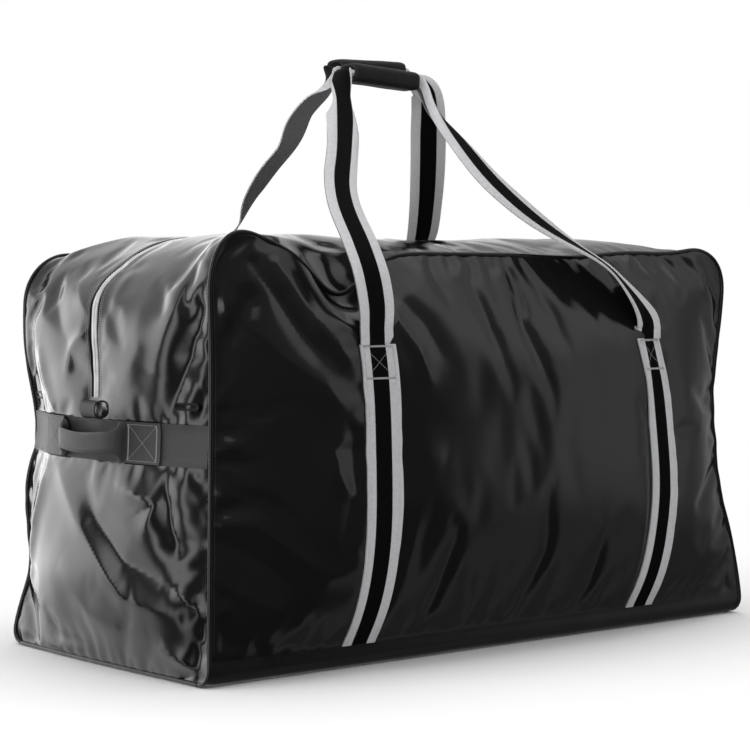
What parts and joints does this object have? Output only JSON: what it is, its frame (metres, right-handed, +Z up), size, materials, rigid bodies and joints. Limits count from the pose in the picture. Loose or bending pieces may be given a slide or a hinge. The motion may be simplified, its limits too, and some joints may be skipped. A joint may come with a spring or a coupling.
{
  "type": "ice hockey equipment bag",
  "caption": "Long soft carry bag of glossy coated cloth with a lengthwise zip over the top, striped carry handles with padded grips and a grab handle on each end.",
  "frame": {"origin": "middle of the base, on the floor", "axes": "+X along the bag to its right end, +Y from the front panel to the back panel, +Z up"},
  "size_m": [1.0268, 0.5752, 0.7895],
  "materials": {
    "coated_cloth": "glossy vinyl-coated tarpaulin, woven texture under the coating",
    "base_cloth": "duller vinyl-coated tarpaulin",
    "board": "stiff corrugated plastic board",
    "piping": "extruded vinyl cord",
    "zip_tape": "woven tape",
    "zip_coil": "light grey nylon coil",
    "slider_metal": "silver painted die casting",
    "vent_plastic": "moulded eyelet",
    "plain_webbing": "charcoal ribbed webbing",
    "striped_webbing": "webbing with a black middle stripe and light grey edges, plain dark on its back",
    "grip_cloth": "padded cloth sleeve"
  },
  "bodies": {
    "bag": {"front_panel": "coated_cloth", "back_panel": "coated_cloth", "bottom_panel": "base_cloth", "bottom_board": "board", "left_end_panel": "coated_cloth", "right_end_panel": "coated_cloth", "left_front_gusset": "coated_cloth", "left_back_gusset": "coated_cloth", "right_front_gusset": "coated_cloth", "right_back_gusset": "coated_cloth", "front_piping": "piping", "back_piping": "piping", "left_base_piping": "piping", "right_base_piping": "piping", "left_zip_tape": "zip_tape", "right_zip_tape": "zip_tape", "left_zip_coil": "zip_coil", "right_zip_coil": "zip_coil", "left_zip_tab": "plain_webbing", "right_zip_tab": "plain_webbing", "left_vents": "vent_plastic", "right_vents": "vent_plastic", "left_band": "plain_webbing", "right_band": "plain_webbing", "left_grab_ends": "plain_webbing", "right_grab_ends": "plain_webbing", "left_grab_grip": "plain_webbing", "right_grab_grip": "plain_webbing", "front_left_strap": "striped_webbing", "front_right_strap": "striped_webbing", "back_left_strap": "striped_webbing", "back_right_strap": "striped_webbing"},
    "front_handle": {"front_handle_webbing": "striped_webbing", "front_handle_grip": "grip_cloth"},
    "back_handle": {"back_handle_webbing": "striped_webbing", "back_handle_grip": "grip_cloth"},
    "front_flap": {"front_flap": "coated_cloth", "front_flap_tape": "zip_tape", "front_flap_coil": "zip_coil"},
    "back_flap": {"back_flap": "coated_cloth", "back_flap_tape": "zip_tape", "back_flap_coil": "zip_coil"},
    "left_slider": {"left_slider": "slider_metal"},
    "right_slider": {"right_slider": "slider_metal"},
    "left_slider_pull": {"left_slider_pull": "slider_metal"},
    "right_slider_pull": {"right_slider_pull": "slider_metal"}
  },
  "joints": [
    {"name": "front_handle_swing", "type": "hinge", "parent": "bag", "child": "front_handle", "pos_m": [0, -0.26266, 0.406], "axis": [1, 0, 0], "range_deg": [0, 150]},
    {"name": "back_handle_swing", "type": "hinge", "parent": "bag", "child": "back_handle", "pos_m": [0, 0.26266, 0.406], "axis": [-1, 0, 0], "range_deg": [0, 120]},
    {"name": "front_flap_lift", "type": "hinge", "parent": "bag", "child": "front_flap", "pos_m": [0, -0.208, 0.518], "axis": [1, 0, 0], "range_deg": [0, 40]},
    {"name": "back_flap_lift", "type": "hinge", "parent": "bag", "child": "back_flap", "pos_m": [0, 0.208, 0.518], "axis": [-1, 0, 0], "range_deg": [0, 40]},
    {"name": "left_slider_run", "type": "slide", "parent": "bag", "child": "left_slider", "axis": [1, 0, 0], "range_m": [-0.608, 0]},
    {"name": "right_slider_run", "type": "slide", "parent": "bag", "child": "right_slider", "axis": [1, 0, 0], "range_m": [0, 0.026]},
    {"name": "left_pull_swing", "type": "hinge", "parent": "left_slider", "child": "left_slider_pull", "pos_m": [0.27817, 0, 0.5416], "axis": [0, 1, 0], "range_deg": [0, 85]},
    {"name": "right_pull_swing", "type": "hinge", "parent": "right_slider", "child": "right_slider_pull", "pos_m": [0.30217, 0, 0.5416], "axis": [0, -1, 0], "range_deg": [0, 85]}
  ]
}
